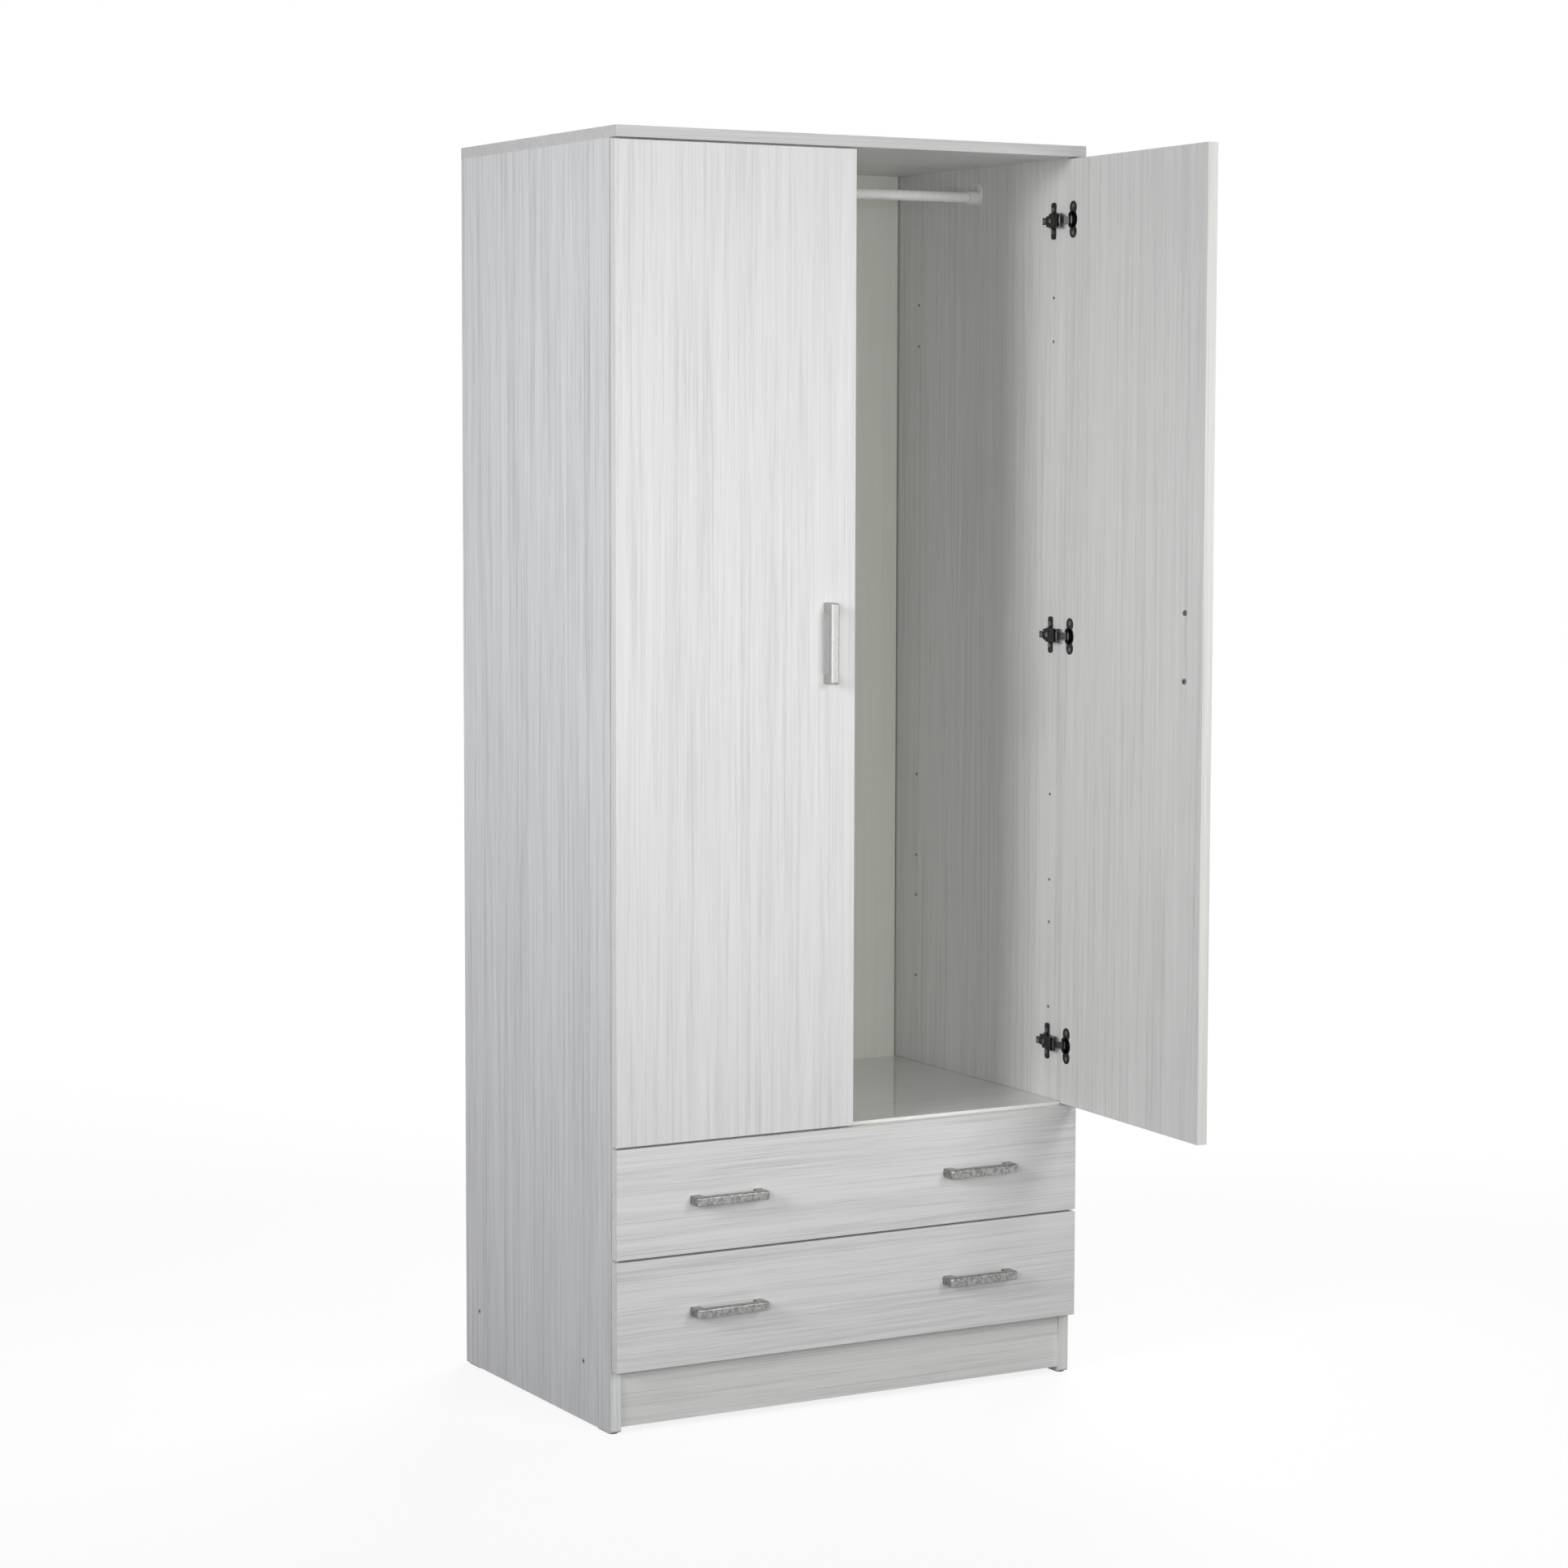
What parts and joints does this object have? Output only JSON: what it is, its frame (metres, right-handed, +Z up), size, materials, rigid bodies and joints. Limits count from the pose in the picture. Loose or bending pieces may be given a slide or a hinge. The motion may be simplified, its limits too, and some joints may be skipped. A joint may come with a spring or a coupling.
{
  "type": "two-door wardrobe with drawers",
  "caption": "Tall free-standing wardrobe with hinged doors over wide drawers, a hanging rail, concealed cup hinges, bar handles and a recessed plinth.",
  "frame": {"origin": "floor level, centre of the footprint of the two side panels", "axes": "+X to the right seen from the front, +Y to the back, +Z up; the doors and drawers face -Y"},
  "size_m": [0.7705, 0.8728, 1.826],
  "materials": {
    "side_board": "melamine-faced board, pale vertical grain, satin",
    "door_board": "melamine-faced board, pale vertical grain, satin",
    "drawer_board": "melamine-faced board, pale horizontal grain, satin",
    "top_board": "melamine-faced board, pale grain, satin",
    "plinth_board": "melamine-faced board, pale horizontal grain, satin",
    "shelf_board": "melamine-faced board, pale grain, white front edge",
    "back_board": "thin white lacquered hardboard",
    "box_board": "white foil-wrapped board",
    "dowel_wood": "fluted beech",
    "white_plastic": "white moulded",
    "grey_plastic": "grey moulded",
    "roller_plastic": "white nylon",
    "rail_enamel": "white enamelled tube",
    "runner_enamel": "white enamelled steel",
    "handle_metal": "satin",
    "hinge_nickel": "dark nickel",
    "hinge_screw": "dark zinc",
    "screw_steel": "zinc plated",
    "nail_steel": "bright steel",
    "zinc": "die-cast zinc"
  },
  "bodies": {
    "carcass": {"left_side_panel": "side_board", "right_side_panel": "side_board", "top_panel": "top_board", "bottom_panel": "shelf_board", "drawer_deck": "shelf_board", "plinth": "plinth_board", "back_panel_left": "back_board", "back_panel_right": "back_board", "back_joint_strip": "white_plastic", "back_nails": "nail_steel", "glides": "grey_plastic", "carcass_screws": "screw_steel", "cam_locks": "zinc", "cam_bolts": "screw_steel", "cam_caps": "white_plastic", "dowels": "dowel_wood", "clothes_rail": "rail_enamel", "rail_supports": "white_plastic", "rail_support_screws": "screw_steel", "hinge_plates": "hinge_nickel", "hinge_arms": "hinge_nickel", "hinge_plate_screws": "hinge_screw", "hinge_arm_screws": "hinge_screw", "cabinet_runners": "runner_enamel", "cabinet_runner_screws": "screw_steel"},
    "left_hinge_links": {"left_door_links": "hinge_nickel"},
    "right_hinge_links": {"right_door_links": "hinge_nickel"},
    "left_door": {"left_door_panel": "door_board", "left_door_handle": "handle_metal", "left_door_handle_screws": "screw_steel", "left_door_hinge_cups": "hinge_nickel", "left_door_cup_screws": "hinge_screw"},
    "right_door": {"right_door_panel": "door_board", "right_door_handle": "handle_metal", "right_door_handle_screws": "screw_steel", "right_door_hinge_cups": "hinge_nickel", "right_door_cup_screws": "hinge_screw"},
    "lower_drawer": {"lower_drawer_front": "drawer_board", "lower_drawer_left_side": "box_board", "lower_drawer_right_side": "box_board", "lower_drawer_back": "box_board", "lower_drawer_bottom": "back_board", "lower_drawer_handles": "handle_metal", "lower_drawer_handle_screws": "screw_steel", "lower_drawer_screws": "screw_steel", "lower_drawer_runners": "runner_enamel"},
    "lower_cabinet_rollers": {"lower_cabinet_rollers": "roller_plastic"},
    "lower_drawer_rollers": {"lower_drawer_rollers": "roller_plastic"},
    "upper_drawer": {"upper_drawer_front": "drawer_board", "upper_drawer_left_side": "box_board", "upper_drawer_right_side": "box_board", "upper_drawer_back": "box_board", "upper_drawer_bottom": "back_board", "upper_drawer_handles": "handle_metal", "upper_drawer_handle_screws": "screw_steel", "upper_drawer_screws": "screw_steel", "upper_drawer_runners": "runner_enamel"},
    "upper_cabinet_rollers": {"upper_cabinet_rollers": "roller_plastic"},
    "upper_drawer_rollers": {"upper_drawer_rollers": "roller_plastic"}
  },
  "joints": [
    {"name": "left_link_swing", "type": "hinge", "parent": "carcass", "child": "left_hinge_links", "pos_m": [-0.358, -0.237, 1.1095], "axis": [0, 0, -1], "range_deg": [-33.53, 0.2]},
    {"name": "left_door_swing", "type": "hinge", "parent": "left_hinge_links", "child": "left_door", "pos_m": [-0.3745, -0.2492, 1.1095], "axis": [0, 0, -1], "range_deg": [0, 133.33]},
    {"name": "right_link_swing", "type": "hinge", "parent": "carcass", "child": "right_hinge_links", "pos_m": [0.358, -0.237, 1.1095], "axis": [0, 0, 1], "range_deg": [-4.53, 29.2]},
    {"name": "right_door_swing", "type": "hinge", "parent": "right_hinge_links", "child": "right_door", "pos_m": [0.36652, -0.25567, 1.1095], "axis": [0, 0, 1], "range_deg": [-116, 17.33]},
    {"name": "lower_drawer_slide", "type": "slide", "parent": "carcass", "child": "lower_drawer", "axis": [0, -1, 0], "range_m": [0, 0.35]},
    {"name": "lower_cabinet_roller_spin", "type": "hinge", "parent": "carcass", "child": "lower_cabinet_rollers", "pos_m": [0, -0.232, 0.111], "axis": [1, 0, 0], "range_deg": [-1, 2870]},
    {"name": "lower_drawer_roller_spin", "type": "hinge", "parent": "lower_drawer", "child": "lower_drawer_rollers", "pos_m": [0, 0.1898, 0.111], "axis": [1, 0, 0], "range_deg": [-1, 2870]},
    {"name": "upper_drawer_slide", "type": "slide", "parent": "carcass", "child": "upper_drawer", "axis": [0, -1, 0], "range_m": [0, 0.35]},
    {"name": "upper_cabinet_roller_spin", "type": "hinge", "parent": "carcass", "child": "upper_cabinet_rollers", "pos_m": [0, -0.232, 0.271], "axis": [1, 0, 0], "range_deg": [-1, 2870]},
    {"name": "upper_drawer_roller_spin", "type": "hinge", "parent": "upper_drawer", "child": "upper_drawer_rollers", "pos_m": [0, 0.1898, 0.271], "axis": [1, 0, 0], "range_deg": [-1, 2870]}
  ],
  "couplings": [
    {"joint": "left_link_swing", "follows": "left_door_swing", "ratio": -0.25},
    {"joint": "right_link_swing", "follows": "right_door_swing", "ratio": -0.25},
    {"joint": "lower_cabinet_roller_spin", "follows": "lower_drawer_slide", "rad_per_m": 142.86},
    {"joint": "lower_drawer_roller_spin", "follows": "lower_drawer_slide", "rad_per_m": 142.86},
    {"joint": "upper_cabinet_roller_spin", "follows": "upper_drawer_slide", "rad_per_m": 142.86},
    {"joint": "upper_drawer_roller_spin", "follows": "upper_drawer_slide", "rad_per_m": 142.86}
  ]
}
